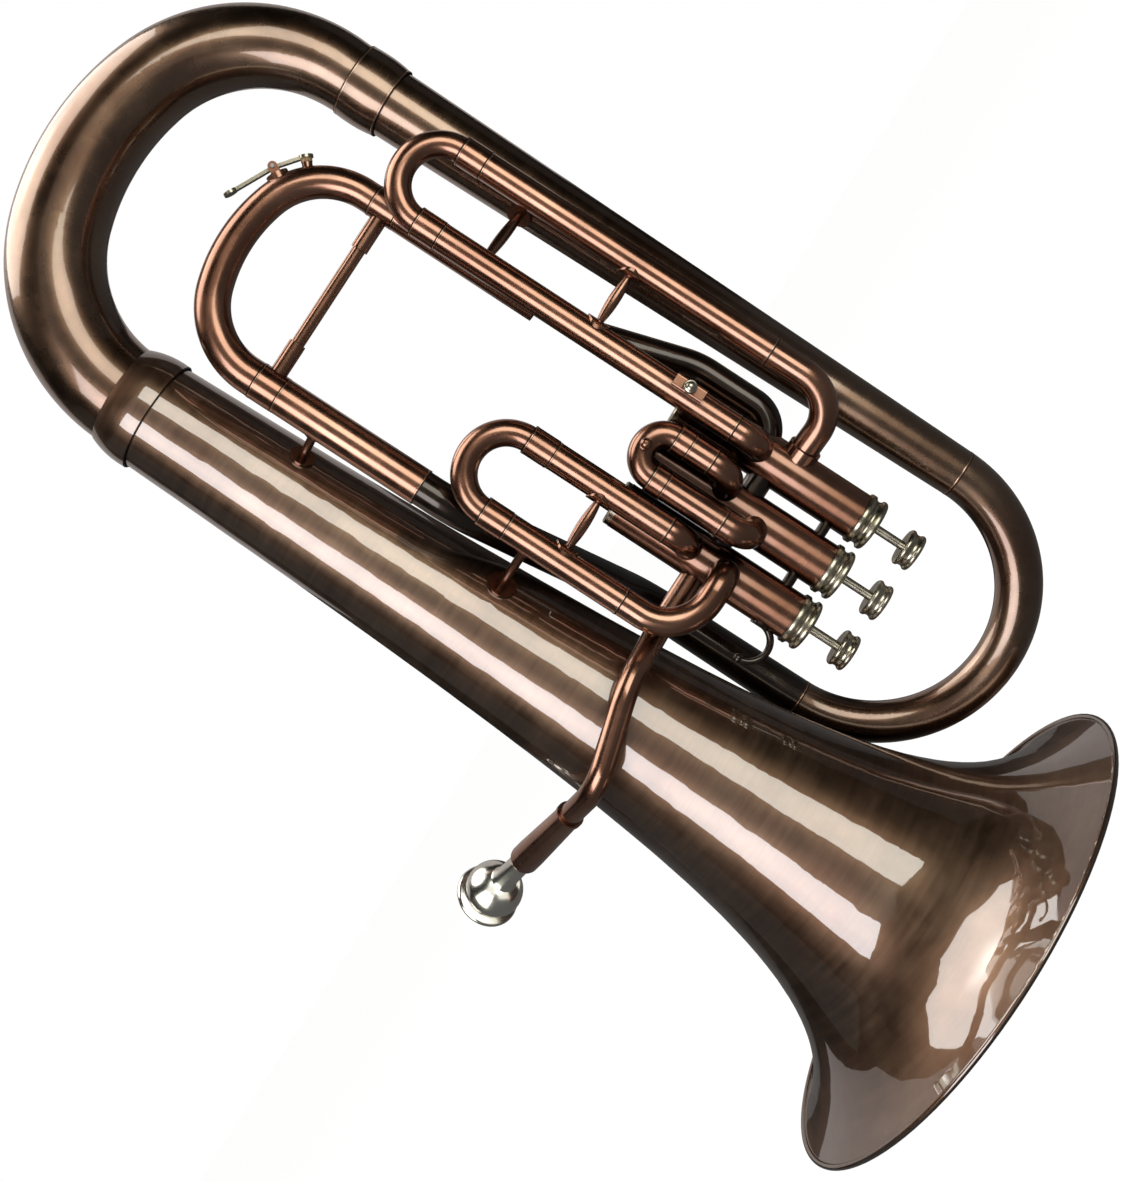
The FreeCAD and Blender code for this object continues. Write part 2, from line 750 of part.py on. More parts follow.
def slide_ferrules(name):
    """A stop ring on each leg, which meets the end of the outer tube when the slide is home."""
    rings = []
    for side in ("upper", "lower"):
        at = ("%s_%s_x" % (name, side), "slide_y", name + "_tube_top + 0.3")
        rings.append(tube("%s_slide_%s_ferrule" % (name, side), "slide_radius + ferrule_step",
                          "slide_radius - tube_wall - slide_clearance", at,
                          "%s_ferrule_top - %s_tube_top - 0.3" % (name, name)))
    return group(name + "_slide_ferrules", rings)


def pull_knob():
    """A small turned knob on the front of the second slide's crook."""
    outline = [
        ("0", "0"),
        ("2.7", "0"),
        ("2.7", "0.9"),
        ("1.3", "1.7"),
        ("1.3", "3"),
        ("2.6", "4.6", "2.1"),
        ("0.8", "6.6", "2.4"),
        ("0", "6.6"),
    ]
    middle = "(second_upper_x + second_lower_x) / 2"
    radius = "(second_upper_x - second_lower_x) / 2"
    front = "slide_y - slide_radius + tube_wall + slide_clearance"
    return turned("second_slide_knob", outline, (middle, front, "second_ferrule_top + " + radius),
                  Vector(0, -1, 0))


# ---------------------------------------------------------------- valves

def valve_axis(number):
    """The plan position of a valve's axis, with the first valve nearest the bell."""
    return Vector(size("valve_x") + (number - 2) * size("valve_spacing"), size("valve_y"), 0)


def valve_x(number):
    return "valve_x + (%d) * valve_spacing" % (number - 2)


def port_routes():
    """Each tube from a slide to a casing: label, valve number, points, bends, and whether it has a collar."""
    y = size("slide_y")
    bend = size("elbow_bend")
    first, second, third = (valve_axis(number) for number in (1, 2, 3))
    upper = {name: size(name + "_upper_x") for name in SLIDES}
    lower = {name: size(name + "_lower_x") for name in SLIDES}

    def bent_back(x, low, height, axis):
        """Down the slide's line, then back into the casing."""
        return [Vector(x, y, low), Vector(x, y, height), axis + Vector(0, 0, height)]

    front, back = size("front_port_height"), size("back_port_height")
    ends = {name: size(name + "_tube_bottom") for name in SLIDES}
    around = [Vector(lower["first"], y, ends["first"]), Vector(lower["first"], y, back),
              Vector(first.x - size("first_inlet_slant"), y, back), first + Vector(0, 0, back)]
    around_bends = [size("first_around_bend"), size("first_inlet_bend")]
    second_back = bent_back(lower["second"], size("second_lower_tube_bottom"), back, second)
    third_wide = bent_back(upper["third"], ends["third"], back, third)
    third_end, third_height = size("third_lower_tube_bottom"), size("third_return_height")
    third_back = bent_back(lower["third"], third_end, third_height, third)
    return [
        ("first_upper_elbow", 1, bent_back(upper["first"], ends["first"], front, first), [bend], False),
        ("first_lower_elbow", 1, around, around_bends, False),
        ("second_upper_elbow", 2, bent_back(upper["second"], ends["second"], front, second), [bend], False),
        ("second_lower_elbow", 2, second_back, [bend], False),
        ("third_upper_elbow", 3, third_wide, [size("round_elbow_bend")], True),
        ("third_lower_elbow", 3, third_back, [bend], False),
    ]


def outlet_route():
    """From the third valve round the front of the branch to the main slide's upper leg."""
    x, y = size("main_upper_x"), size("main_y")
    far = size("outlet_x")
    valve = valve_axis(3)
    height = size("outlet_height")
    sway = size("outlet_sway_bend")
    points = [Vector(x, y, size("main_tube_bottom")), Vector(x, y, size("outlet_sway_top")),
              Vector(far, valve.y, size("outlet_sway_bottom")), Vector(far, valve.y, height),
              valve + Vector(0, 0, height)]
    return route(points, [sway, sway, size("outlet_bend")])


def leadpipe_route():
    """From the first valve across the front of the bell into the receiver."""
    valve = valve_axis(1)
    height = size("leadpipe_height")
    end = Vector(size("receiver_x"), size("receiver_y"), size("receiver_height"))
    points = [valve + Vector(0, 0, height),
              Vector(size("leadpipe_valve_turn_x"), size("leadpipe_valve_turn_y"), height),
              Vector(size("leadpipe_front_x"), size("leadpipe_front_y"), height),
              end - receiver_direction() * size("leadpipe_last_run"),
              end + receiver_direction() * size("leadpipe_insert")]
    bend = size("leadpipe_bend")
    return route(points, [bend, size("leadpipe_front_bend"), bend])


def receiver_direction():
    angle = math.radians(size("receiver_angle"))
    rise = math.radians(size("receiver_rise"))
    return Vector(-math.cos(angle) * math.cos(rise), math.sin(angle) * math.cos(rise), math.sin(rise))


def casing_core(number):
    axis = valve_axis(number)
    return upright(axis.x, axis.y, size("casing_radius"))


def soldered(pipe, number):
    """A bent tube cut back to the outside of the casing that it is soldered to."""
    return max(pipe.cut(casing_core(number)).Solids, key=lambda solid: solid.Volume)


def valve_tubing():
    """The tubes that end in the casings, and the bores that the casings need for them."""
    wall = size("tube_wall")
    radius = size("elbow_radius")
    bores = {1: [], 2: [], 3: []}
    elbows = {}
    for label, number, points, bends, has_collar in port_routes():
        pipe, bore = even_tube(route(points, bends), radius, wall)
        if has_collar:
            onward = (points[-1] - points[-2]).normalize()
            start = points[-1] - onward * size("casing_radius + collar_length")
            collar = rod(start, points[-1], size("collar_radius")).cut(rod(start, points[-1], radius))
            pipe = pipe.fuse(collar)
        elbows[label] = soldered(pipe, number)
        bores[number].append(bore)

    radius = size("outlet_radius")
    outside, bore = bent_tube(outlet_route(), [(0, radius + 0.2), (1, radius)], wall)
    outlet = soldered(outside.cut(bore), 3)
    bores[3].append(bore)

    stations = [(0, size("leadpipe_valve_radius")), (1, size("leadpipe_end_radius"))]
    outside, bore = bent_tube(leadpipe_route(), stations, wall)
    leadpipe = soldered(outside.cut(bore), 1)
    bores[1].append(bore)

    crossovers = []
    for number in (1, 2):
        lift = Vector(0, 0, size("crossover_height"))
        start, end = valve_axis(number) + lift, valve_axis(number + 1) + lift
        bore = rod(start, end, size("crossover_radius - tube_wall"))
        link = rod(start, end, size("crossover_radius")).cut(bore)
        crossovers.append(link.cut(casing_core(number)).cut(casing_core(number + 1)))
        bores[number].append(bore)
        bores[number + 1].append(bore)
    return elbows, outlet, leadpipe, crossovers, bores


def valve_casing(number, bores):
    axis = valve_axis(number)
    low, high = size("casing_top"), size("casing_bottom")
    wall = upright(axis.x, axis.y, size("casing_radius"), low, high)
    wall = wall.cut(upright(axis.x, axis.y, size("casing_radius - casing_wall")))
    return shaped("valve_%d_casing" % number, wall.cut(Part.makeCompound(bores)))


def casing_braces():
    braces = []
    for number in (1, 2):
        lift = Vector(0, 0, size("casing_brace_height"))
        brace = rod(valve_axis(number) + lift, valve_axis(number + 1) + lift, size("casing_brace_radius"))
        braces.append(brace.cut(casing_core(number)).cut(casing_core(number + 1)))
    return shaped("casing_braces", Part.makeCompound(braces))


def top_cap(number):
    """A screwed cap with two knurled rings and a hollow waist between them."""
    outline = [
        ("cap_hole_radius", "0"),
        ("cap_radius - 2.2", "0"),
        ("cap_radius", "1.2", "1.8"),
        ("cap_radius", "2.6"),
        ("cap_waist", "3.3"),
        ("cap_waist", "cap_height - 3.4", "-6"),
        ("cap_radius", "cap_height - 2.7"),
        ("cap_radius", "cap_height - 0.4"),
        ("cap_radius - 0.4", "cap_height"),
        ("casing_radius - casing_wall - 0.1", "cap_height"),
        ("casing_radius - casing_wall - 0.1", "cap_height + cap_thread"),
        ("cap_hole_radius", "cap_height + cap_thread"),
    ]
    return turned("top_cap_%d" % number, outline, (valve_x(number), "valve_y", "casing_top - cap_height"))


def bottom_cap(number):
    outline = [
        ("0", "0"),
        ("casing_radius - casing_wall - 0.1", "0"),
        ("casing_radius - casing_wall - 0.1", "bottom_cap_height"),
        ("bottom_cap_radius", "bottom_cap_height"),
        ("bottom_cap_radius", "2 * bottom_cap_height - 0.6"),
        ("bottom_cap_radius - 0.6", "2 * bottom_cap_height"),
        ("0", "2 * bottom_cap_height"),
    ]
    at = (valve_x(number), "valve_y", "casing_bottom - bottom_cap_height")
    return turned("bottom_cap_%d" % number, outline, at)


def piston(number):
    """A piston with three crossing passages and a seat for its spring."""
    axis = valve_axis(number)
    top = size("piston_top")
    length = size("piston_length")
    radius = size("casing_radius - casing_wall - piston_clearance")
    body = upright(axis.x, axis.y, radius, top, top + length)
    seat = upright(axis.x, axis.y, size("spring_radius") + 1.2, top + length - size("piston_spring_seat"),
                   top + length)
    body = body.cut(seat)
    for share, turn in ((0.29, 0), (0.55, 60), (0.81, -60)):
        across = Vector(math.cos(math.radians(turn)), math.sin(math.radians(turn)), 0) * 2 * radius
        centre = axis + Vector(0, 0, top + share * length)
        body = body.cut(rod(centre - across, centre + across, size("passage_radius")))
    return shaped("piston_%d" % number, body)


def stem(number):
    outline = [("0", "0"), ("stem_radius", "0"), ("stem_radius", "piston_top - stem_bottom"),
               ("0", "piston_top - stem_bottom")]
    return turned("stem_%d" % number, outline, (valve_x(number), "valve_y", "stem_bottom"))


def button(number):
    """A spool-shaped finger button with a slightly domed end."""
    socket = "stem_bottom - button_bottom"
    outline = [
        ("0", "0"),
        ("button_radius - 1.1", "0.6", "70"),
        ("button_radius", "1.7", "1.2"),
        ("button_radius - 0.3", "2.6", "0.9"),
        ("button_radius - 0.3", "button_height - 2.4", "-2.2"),
        ("button_radius", "button_height - 1.5", "0.9"),
        ("button_radius - 1", "button_height", "1.4"),
        ("stem_radius", "button_height"),
        ("stem_radius", socket),
        ("0", socket),
    ]
    return turned("finger_button_%d" % number, outline, (valve_x(number), "valve_y", "button_bottom"))


def valve_spring(number):
    """A coil under the piston, between its seat and the bottom cap."""
    low = size("piston_top + piston_length - piston_spring_seat + spring_wire + spring_gap")
    high = size("casing_bottom - bottom_cap_height - spring_wire - spring_gap")
    radius = size("spring_radius")
    steps = round(size("spring_turns") * size("spring_sides"))
    bends = []
    for step in range(steps + 1):
        turn = 2 * math.pi * step / size("spring_sides")
        rise = low + (high - low) * step / steps
        bends.append(valve_axis(number) + Vector(radius * math.cos(turn), radius * math.sin(turn), rise))
    section = Part.Wire(Part.makeCircle(size("spring_wire"), bends[0], bends[1] - bends[0]))
    mitred = 1
    coil = Part.makePolygon(bends).makePipeShell([section], True, False, mitred)
    return shaped("valve_%d_spring" % number, coil)


# ---------------------------------------------------------------- receiver and mouthpiece

def mouthpiece_receiver():
    outline = [
        ("receiver_bore", "leadpipe_insert"),
        ("leadpipe_end_radius + 0.05", "leadpipe_insert"),
        ("leadpipe_end_radius + 0.05", "0"),
        ("receiver_collar_radius", "0"),
        ("receiver_collar_radius", "2.2"),
        ("receiver_collar_radius - 0.6", "3"),
        ("receiver_radius", "receiver_length - 10"),
        ("receiver_radius", "receiver_length - 3"),
        ("receiver_radius - 1", "receiver_length", "4"),
        ("shank_mouth_radius + 0.05", "receiver_length"),
        ("shank_tip_radius + 0.05", "receiver_length - shank_insert"),
    ]
    return turned("mouthpiece_receiver", outline, ("receiver_x", "receiver_y", "receiver_height"),
                  receiver_direction())


def mouthpiece():
    """Shank, ball-shaped bowl and rim, with its own Z from the shank's tip to the rim."""
    neck = "shank_mouth_radius + 1.6"
    outline = [
        ("shank_tip_radius - 0.9", "0"),
        ("shank_tip_radius", "0"),
        ("shank_mouth_radius", "shank_insert"),
        ("shank_mouth_radius + 0.3", "ball_height - ball_radius - 2"),
        (neck, "ball_height - sqrt(ball_radius ^ 2 - (%s) ^ 2)" % neck, "-5"),
        ("ball_radius", "ball_height", "ball_radius"),
        ("sqrt(ball_radius ^ 2 - 6.5 ^ 2)", "ball_height + 6.5", "ball_radius"),
        ("rim_radius - 1", "ball_height + 6.9"),
        ("rim_radius", "ball_height + 7.9", "1"),
        ("rim_radius", "mouthpiece_length - 1.4"),
        ("rim_radius - 2.6", "mouthpiece_length", "3.4"),
        ("cup_radius", "mouthpiece_length - 1.6", "2.8"),
        ("4.2", "ball_height - 7", "-17"),
        ("2.8", "ball_height - 10"),
    ]
    reach = "(receiver_length - shank_insert) * cos(receiver_rise * 1deg)"
    at = ("receiver_x - %s * cos(receiver_angle * 1deg)" % reach,
          "receiver_y + %s * sin(receiver_angle * 1deg)" % reach,
          "receiver_height + (receiver_length - shank_insert) * sin(receiver_rise * 1deg)")
    return turned("mouthpiece", outline, at, receiver_direction())


# ---------------------------------------------------------------- braces, posts, hook and lyre socket

def spindle(start, end):
    """A vase-shaped bar between two points on the axes of the tubes that it joins."""
    length = (end - start).Length
    narrow, wide = size("spindle_end_radius"), size("spindle_middle_radius")
    side = Part.Arc(Vector(narrow, 0, 0), Vector(wide, 0, length / 2), Vector(narrow, 0, length)).toShape()
    corners = [Vector(narrow, 0, length), Vector(0, 0, length), Vector(0, 0, 0), Vector(narrow, 0, 0)]
    edges = [side] + [Part.LineSegment(a, b).toShape() for a, b in zip(corners, corners[1:])]
    bar = Part.Face(Part.Wire(edges)).revolve(Vector(), Vector(0, 0, 1), 360)
    bar.Placement = FreeCAD.Placement(start, FreeCAD.Rotation(Vector(0, 0, 1), end - start))
    return bar


def saddle(axis, toward, tube_radius, plate_radius):
    """A thin round plate bent over an upright tube, on the side that faces another point."""
    direction = (toward - axis).normalize()
    plate = Part.makeCylinder(plate_radius, tube_radius + 4, axis, direction)
    return plate.common(upright(axis.x, axis.y, tube_radius + size("saddle_height")))


def slide_brace(name, height):
    upper = Vector(size(name + "_upper_x"), size("slide_y"), size(height))
    lower = Vector(size(name + "_lower_x"), size("slide_y"), size(height))
    radius = size("slide_radius")
    face = Vector(radius, 0, 0)
    brace = spindle(lower + face, upper - face)
    brace = brace.fuse([saddle(lower, upper, radius, size("saddle_radius")),
                        saddle(upper, lower, radius, size("saddle_radius"))])
    brace = brace.cut(upright(lower.x, lower.y, radius)).cut(upright(upper.x, upper.y, radius))
    return shaped(name + "_slide_brace", brace)


def slide_braces():
    """The vase-shaped braces between the outer tubes of the first and third slides."""
    return group("slide_braces", [slide_brace("first", "first_brace_height"),
                                  slide_brace("third", "third_brace_height")])


def branch_brace():
    """From the outer branch forward to the upper outer tube of the main slide."""
    height = size("branch_brace_height")
    branch = Vector(size("branch_x"), 0, height)
    slide = Vector(size("main_upper_x"), size("main_y"), height)
    toward = (slide - branch).normalize()
    taper = (size("branch_top_radius") - size("branch_bottom_radius")) / size("branch_top - branch_bottom")
    local = size("branch_bottom_radius") + taper * (height - size("branch_bottom"))
    bar = spindle(branch + toward * (local - 1), slide - toward * (size("main_upper_radius") - 1))
    plate = Part.makeCylinder(size("saddle_radius"), local + 1.2, branch, toward)
    brace = bar.fuse([plate, saddle(slide, branch, size("main_upper_radius"), size("saddle_radius") - 1)])
    cone = Part.makeCone(size("branch_bottom_radius"), size("branch_top_radius"),
                         size("branch_top - branch_bottom"), Vector(branch.x, 0, size("branch_bottom")))
    brace = brace.cut(cone).cut(upright(slide.x, slide.y, size("main_upper_radius")))
    return shaped("branch_brace", brace)


def bell_post(tube_axis, tube_radius, height, plate_radius):
    """A post from a slide's outer tube to a round foot on the bell."""
    start = tube_axis + Vector(0, 0, height)
    end = Vector(0, 0, height)
    toward = (end - start).normalize()
    bar = rod(start, end, size("post_radius"))
    reach = bell_radius(height) + size("saddle_height") + 0.3
    foot = Part.makeCylinder(plate_radius, reach, end, toward * -1)
    post = bar.fuse([foot, saddle(start, end, tube_radius, 4.2)])
    post = post.cut(bell_plug(0)).cut(upright(start.x, start.y, tube_radius))
    outside = [solid for solid in post.Solids if solid.CenterOfMass.dot(start - end) > 0]
    return max(outside, key=lambda solid: solid.Volume)


def bell_posts():
    main = Vector(size("main_lower_x"), size("main_y"), 0)
    first = Vector(size("first_lower_x"), size("slide_y"), 0)
    posts = [bell_post(main, size("main_lower_radius"), size("main_post_height"), 5.9),
             bell_post(first, size("slide_radius"), size("first_post_height"), 7)]
    return shaped("bell_posts", Part.makeCompound(posts))


def thumb_hook():
    """A half ring of wire from the first casing, with a ball at its free end."""
    axis = valve_axis(1)
    ring = size("hook_radius")
    wire = size("hook_wire")
    height = size("hook_height")
    wall = axis.x - size("casing_radius") + 1
    root = Vector(wall, axis.y, height)
    lowest = Vector(wall - ring, axis.y, height - ring)
    tip = Vector(wall - 2 * ring, axis.y, height)
    slant = ring * math.sqrt(0.5)
    quarter = Part.Arc(root, Vector(wall - ring + slant, axis.y, height - slant), lowest).toShape()
    rest = Part.Arc(lowest, Vector(wall - ring - slant, axis.y, height - slant), tip).toShape()
    hook = swept(Part.Wire([quarter, rest]), [(0, wire + 0.3), (1, wire)])
    foot = saddle(axis + Vector(0, 0, height), root + Vector(-5, 0, 0), size("casing_radius"), 4.6)
    hook = hook.fuse([foot, Part.makeSphere(wire + 0.7, tip)])
    return shaped("thumb_hook", hook.cut(casing_core(1)))


def lyre_socket():
    """A block on the front of the third slide's lower tube, bored for the lyre's shank."""
    width = size("lyre_width")
    x, y, low = size("lyre_x"), size("lyre_y"), size("lyre_height")
    length = size("lyre_length")
    block = Part.makeBox(width, width, length, Vector(x - width / 2, y - width / 2, low))
    upright_edges = [edge for edge in block.Edges if abs(edge.tangentAt(0).z) > 0.9]
    block = block.makeFillet(1.2, upright_edges)
    foot = Part.makeBox(width, 6, length - 4, Vector(x - width / 2, y, low + 2))
    socket = block.fuse(foot)
    socket = socket.cut(upright(x, y, size("lyre_bore")))
    socket = socket.cut(upright(size("third_lower_x"), size("slide_y"), size("slide_radius")))
    middle = Vector(x, y, low + length / 2)
    socket = socket.cut(rod(middle, middle - Vector(0, width, 0), 1.35))
    return shaped("lyre_socket", max(socket.Solids, key=lambda solid: solid.Volume))


def lyre_screw():
    """A thumbscrew that grips the lyre's shank from the front."""
    outline = [
        ("0", "0"),
        ("1.3", "0"),
        ("1.3", "3.4"),
        ("lyre_screw_radius - 0.4", "3.4"),
        ("lyre_screw_radius", "3.9"),
        ("lyre_screw_radius", "6"),
        ("lyre_screw_radius - 0.6", "6.6", "1"),
        ("0.8", "7.3", "9"),
        ("0", "7.3"),
    ]
    at = ("lyre_x", "lyre_y - lyre_bore - 0.1", "lyre_height + lyre_length / 2")
    return turned("lyre_screw", outline, at, Vector(0, -1, 0))


# ---------------------------------------------------------------- the whole horn

def build():
    """Makes every piece and returns those that are written out."""
    pieces = [bell(), bell_ferrule(), bottom_bow(), branch_ferrule()]
    pieces += [outer_branch(), top_bow(), inner_branch()]

    sides = ("upper", "lower")
    pieces += [main_outer_tube(side) for side in sides]
    pieces.append(group("main_slide_inner_legs", [main_inner_leg(side) for side in sides]))
    pieces.append(group("main_slide_ferrules", [main_ferrule(side) for side in sides]))
    pieces += [main_bow(), main_brace()]
    pieces += [shaped(label, shape) for label, shape in water_key().items()]

    for name in SLIDES:
        pieces += [slide_outer_tubes(name), slide_crook(name), slide_ferrules(name)]
    pieces.append(pull_knob())

    elbows, outlet, leadpipe, crossovers, bores = valve_tubing()
    for name in SLIDES:
        pair = [elbows["%s_%s_elbow" % (name, side)] for side in sides]
        pieces.append(shaped(name + "_valve_elbows", Part.makeCompound(pair)))
    pieces.append(shaped("third_valve_outlet", outlet))
    pieces.append(shaped("leadpipe", leadpipe))
    pieces.append(shaped("casing_crossovers", Part.makeCompound(crossovers)))
    pieces.append(casing_braces())

    valves = (1, 2, 3)
    for number in valves:
        pieces += [valve_casing(number, bores[number]), piston(number), stem(number), button(number)]
        pieces.append(valve_spring(number))
    pieces.append(group("top_caps", [top_cap(number) for number in valves]))
    pieces.append(group("bottom_caps", [bottom_cap(number) for number in valves]))

    pieces += [mouthpiece_receiver(), mouthpiece()]
    pieces += [slide_braces(), branch_brace(), bell_posts(), thumb_hook(), lyre_socket(), lyre_screw()]
    return pieces


def check_and_write(pieces):
    doc.recompute()
    faulty = [item.Label for item in doc.Objects if {"Invalid", "Error"} & set(item.State)]
    for piece in pieces:
        if piece.Shape.isNull() or not piece.Shape.isValid() or not piece.Shape.Solids:
            faulty.append(piece.Label)
    if faulty:
        raise RuntimeError("pieces that failed: " + ", ".join(sorted(set(faulty))))
    os.makedirs("parts", exist_ok=True)
    for piece in pieces:
        piece.Shape.exportStep("parts/%s.step" % piece.Label)
        print("%-32s %2d solids %10.1f mm3" % (piece.Label, len(piece.Shape.Solids), piece.Shape.Volume))


check_and_write(build())
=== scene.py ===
import bmesh
import bpy
import json
import math
from mathutils import Matrix, Vector


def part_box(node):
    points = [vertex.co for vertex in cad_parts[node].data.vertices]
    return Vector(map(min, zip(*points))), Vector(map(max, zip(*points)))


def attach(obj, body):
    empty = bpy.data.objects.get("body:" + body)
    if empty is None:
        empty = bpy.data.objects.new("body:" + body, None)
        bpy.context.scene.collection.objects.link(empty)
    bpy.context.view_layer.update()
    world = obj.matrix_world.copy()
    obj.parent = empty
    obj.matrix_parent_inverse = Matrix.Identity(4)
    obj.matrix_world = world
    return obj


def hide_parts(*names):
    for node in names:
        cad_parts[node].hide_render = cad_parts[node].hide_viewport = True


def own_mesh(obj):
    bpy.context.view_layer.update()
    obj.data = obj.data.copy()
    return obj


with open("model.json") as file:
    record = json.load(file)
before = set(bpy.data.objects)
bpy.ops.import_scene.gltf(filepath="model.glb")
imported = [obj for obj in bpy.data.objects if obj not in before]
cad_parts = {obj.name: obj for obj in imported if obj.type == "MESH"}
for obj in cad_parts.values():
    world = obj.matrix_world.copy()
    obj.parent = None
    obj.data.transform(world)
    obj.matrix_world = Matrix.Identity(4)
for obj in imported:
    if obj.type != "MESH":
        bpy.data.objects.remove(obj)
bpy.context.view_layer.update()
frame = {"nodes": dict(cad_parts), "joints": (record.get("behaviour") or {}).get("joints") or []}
nodes = frame["nodes"]
joints = {joint["name"]: joint for joint in frame["joints"]}
scene = bpy.context.scene


# ---------------------------------------------------------------- materials

# sockets of the Mix node, which has several of the same name
MIX_FACTOR, MIX_A, MIX_B, MIX_RESULT = 0, 6, 7, 2

WHITE = (1, 1, 1)
PAINTED_SHADE_REACH = 0.02  # metres to a neighbour within which a corner gets painted shade
PAINTED_SHADE_SAMPLES = 6
STREAK_DEPTH = 0.00001  # metres between the brushing's ridges and grooves
POLISH, SMUDGE = 0.8, 0.3  # parts of a metal's roughness: its glossiest streaks, and smudges on top
GRAIN_DEPTH = 0.0002  # metres, for cork and paper


class Shader:
    """A Principled material with helpers for its procedural detail."""

    def __init__(self, name):
        self.material = bpy.data.materials.new(name)
        self.material.use_nodes = True
        self.tree = self.material.node_tree
        self.surface = self.tree.nodes["Principled BSDF"]
        self.place = self.tree.nodes.new("ShaderNodeTexCoord").outputs["Object"]

    def link(self, source, target):
        self.tree.links.new(source, target)

    def noise(self, scale, detail=4.0, roughness=0.55, stretch=(1, 1, 1)):
        mapping = self.tree.nodes.new("ShaderNodeMapping")
        mapping.inputs["Scale"].default_value = stretch
        self.link(self.place, mapping.inputs["Vector"])
        texture = self.tree.nodes.new("ShaderNodeTexNoise")
        texture.inputs["Scale"].default_value = scale
        texture.inputs["Detail"].default_value = detail
        texture.inputs["Roughness"].default_value = roughness
        self.link(mapping.outputs["Vector"], texture.inputs["Vector"])
        return texture.outputs["Fac"]

    def ramp(self, value, stops):
        """Colours at positions. A new ramp has two stops, so the first two given are its ends."""
        ramp = self.tree.nodes.new("ShaderNodeValToRGB")
        elements = ramp.color_ramp.elements
        for index, (position, colour) in enumerate(stops):
            element = elements[index] if index < len(elements) else elements.new(position)
            element.position = position
            element.color = (*colour, 1)
        self.link(value, ramp.inputs["Fac"])
        return ramp.outputs["Color"]

    def span(self, value, low, high, start=0.3, end=0.7):
        """A value's stretch from start to end, spread over low to high."""
        spread = self.tree.nodes.new("ShaderNodeMapRange")
        spread.inputs["From Min"].default_value = start
        spread.inputs["From Max"].default_value = end
        spread.inputs["To Min"].default_value = low
        spread.inputs["To Max"].default_value = high
        self.link(value, spread.inputs["Value"])
        return spread.outputs["Result"]

    def add(self, first, second):
        node = self.tree.nodes.new("ShaderNodeMath")
        self.link(first, node.inputs[0])
        self.link(second, node.inputs[1])
        return node.outputs["Value"]

    def darken(self, colour, value):
        node = self.tree.nodes.new("ShaderNodeMix")
        node.data_type = "RGBA"
        node.blend_type = "MULTIPLY"
        node.inputs[MIX_FACTOR].default_value = 1
        self.link(colour, node.inputs[MIX_A])
        self.link(value, node.inputs[MIX_B])
        return node.outputs[MIX_RESULT]

    def painted_shade_mask(self):
        """A mask for painted shade: 1 in the open, falling to 0 in the corners between pieces."""
        node = self.tree.nodes.new("ShaderNodeAmbientOcclusion")
        node.samples = PAINTED_SHADE_SAMPLES
        node.inputs["Distance"].default_value = PAINTED_SHADE_REACH
        return node.outputs["AO"]

    def bump(self, height, distance, strength=1.0):
        node = self.tree.nodes.new("ShaderNodeBump")
        node.inputs["Distance"].default_value = distance
        node.inputs["Strength"].default_value = strength
        self.link(height, node.inputs["Height"])
        self.link(node.outputs["Normal"], self.surface.inputs["Normal"])


def brushed(name, deep, tone, pale, roughness, grain, coat=0.5, coat_roughness=0.1, coat_ior=1.75,
            wear=0.12, shade=1.0, relief=0.3, octaves=4.0):
    """Patinated metal under lacquer, with clouds of tone, faint streaks left by brushing and
    painted shade in its corners.
    wear is how far the streaks darken it, and shade is how bright the painted shade leaves the
    corners."""
    shader = Shader(name)
    clouds = shader.noise(scale=16, detail=5, roughness=0.6)
    streaks = shader.noise(scale=1, detail=octaves, roughness=0.62, stretch=grain)
    smudges = shader.noise(scale=55, detail=3, roughness=0.6)
    colour = shader.ramp(clouds, [(0.3, deep), (0.72, pale), (0.5, tone)])
    worn = shader.ramp(shader.span(streaks, 0, 1), [(0.0, (1 - wear,) * 3), (1.0, WHITE)])
    colour = shader.darken(colour, worn)
    # painted shade: the colour is darkened in corners and between parts, where shade falls
    if shade < 1:
        painted_corner_shade = shader.ramp(shader.painted_shade_mask(), [(0.25, (shade,) * 3), (0.85, WHITE)])
        colour = shader.darken(colour, painted_corner_shade)
    shader.link(colour, shader.surface.inputs["Base Color"])
    gloss = shader.add(shader.span(streaks, roughness * POLISH, roughness),
                       shader.span(smudges, 0, roughness * SMUDGE))
    shader.link(gloss, shader.surface.inputs["Roughness"])
    shader.surface.inputs["Metallic"].default_value = 1
    shader.surface.inputs["Coat Weight"].default_value = coat
    shader.surface.inputs["Coat Roughness"].default_value = coat_roughness
    shader.surface.inputs["Coat IOR"].default_value = coat_ior
    shader.bump(streaks, STREAK_DEPTH, relief)
    return shader.material


def cork_material():
    shader = Shader("cork")
    grains = shader.noise(scale=1400, detail=3, roughness=0.7)
    colour = shader.ramp(grains, [(0.35, (0.16, 0.09, 0.045)), (0.65, (0.5, 0.33, 0.18))])
    shader.link(colour, shader.surface.inputs["Base Color"])
    shader.link(shader.span(grains, 0.75, 0.95), shader.surface.inputs["Roughness"])
    shader.bump(grains, GRAIN_DEPTH)
    return shader.material


